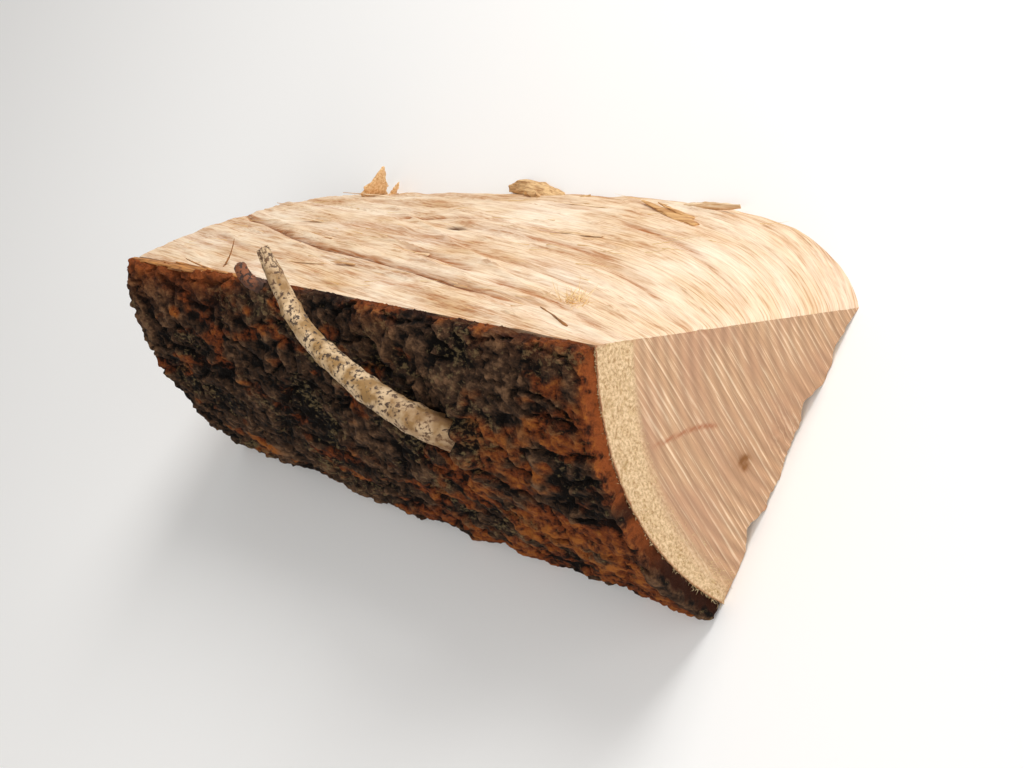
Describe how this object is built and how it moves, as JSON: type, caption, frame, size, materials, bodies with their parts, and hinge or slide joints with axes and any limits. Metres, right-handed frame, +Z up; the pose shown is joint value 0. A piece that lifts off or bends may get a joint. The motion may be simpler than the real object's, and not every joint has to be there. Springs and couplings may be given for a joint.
{
  "type": "split log",
  "caption": "Wedge-shaped split firewood log with rugged bark, a torn pale split face, sawn ends and a dry side shoot growing along the bark.",
  "frame": {"origin": "middle of the bottom of the whole object's box, on the surface that the log lies on", "axes": "+X along the log towards the sawn end that the bark edge, sapwood band and saw marks show on; +Y from the bark towards the split ridge; +Z up, out of the hidden split face that the log lies on"},
  "size_m": [0.4, 0.1782, 0.1422],
  "materials": {
    "split_wood": "raw, torn along the grain on the split faces and chainsaw-cut on the ends",
    "outer_bark": "rugged dry bark, cracked, with reddish inner bark at its edges",
    "shoot_bark": "thin, dry, speckled twig bark",
    "stub_bark": "dry broken twig"
  },
  "bodies": {
    "root": {"wood": "split_wood", "bark": "outer_bark", "side_shoot": "shoot_bark", "shoot_stub": "stub_bark"}
  },
  "joints": []
}
